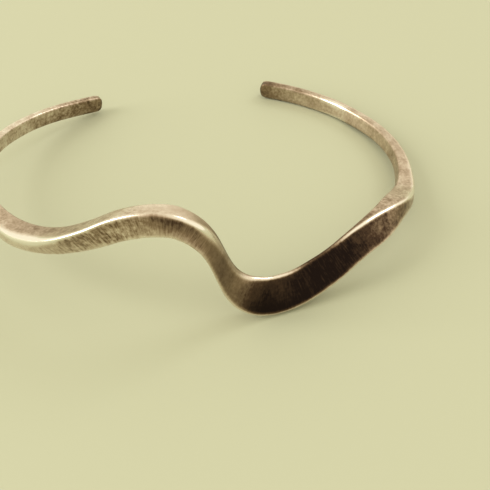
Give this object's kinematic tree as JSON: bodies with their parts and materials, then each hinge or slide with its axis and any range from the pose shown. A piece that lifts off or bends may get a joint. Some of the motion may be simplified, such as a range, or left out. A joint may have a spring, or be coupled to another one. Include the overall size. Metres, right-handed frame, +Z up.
{
  "type": "open cuff bracelet",
  "caption": "Open cuff bracelet forged from a silver bar, with one bold wave across the front and a springy gap at the back.",
  "frame": {"origin": "on the table surface the cuff rests on, under the middle of its bounding box", "axes": "+Z up from the table; +Y from the wave at the front towards the opening at the back; +X to the right when looking along +Y"},
  "size_m": [0.062, 0.0498, 0.0188],
  "materials": {
    "tarnished_silver_wave": "hammer-forged sterling silver, brushed, with a dark brown tarnish on its outer face and worn bright edges",
    "tarnished_silver_arms": "hammer-forged sterling silver with a light pinkish-brown tarnish, darker towards the tips"
  },
  "bodies": {
    "front_wave": {"front_wave": "tarnished_silver_wave"},
    "left_arm": {"left_arm": "tarnished_silver_arms"},
    "right_arm": {"right_arm": "tarnished_silver_arms"}
  },
  "joints": [
    {"name": "left_arm_spring", "type": "hinge", "parent": "front_wave", "child": "left_arm", "pos_m": [-0.0241, -0.0131, 0.009], "axis": [0, 0, 1], "range_deg": [-2, 6], "stiffness_Nm_per_rad": 2.9},
    {"name": "right_arm_spring", "type": "hinge", "parent": "front_wave", "child": "right_arm", "pos_m": [0.0239, -0.0131, 0.006], "axis": [0, 0, -1], "range_deg": [-2, 6], "stiffness_Nm_per_rad": 2}
  ]
}
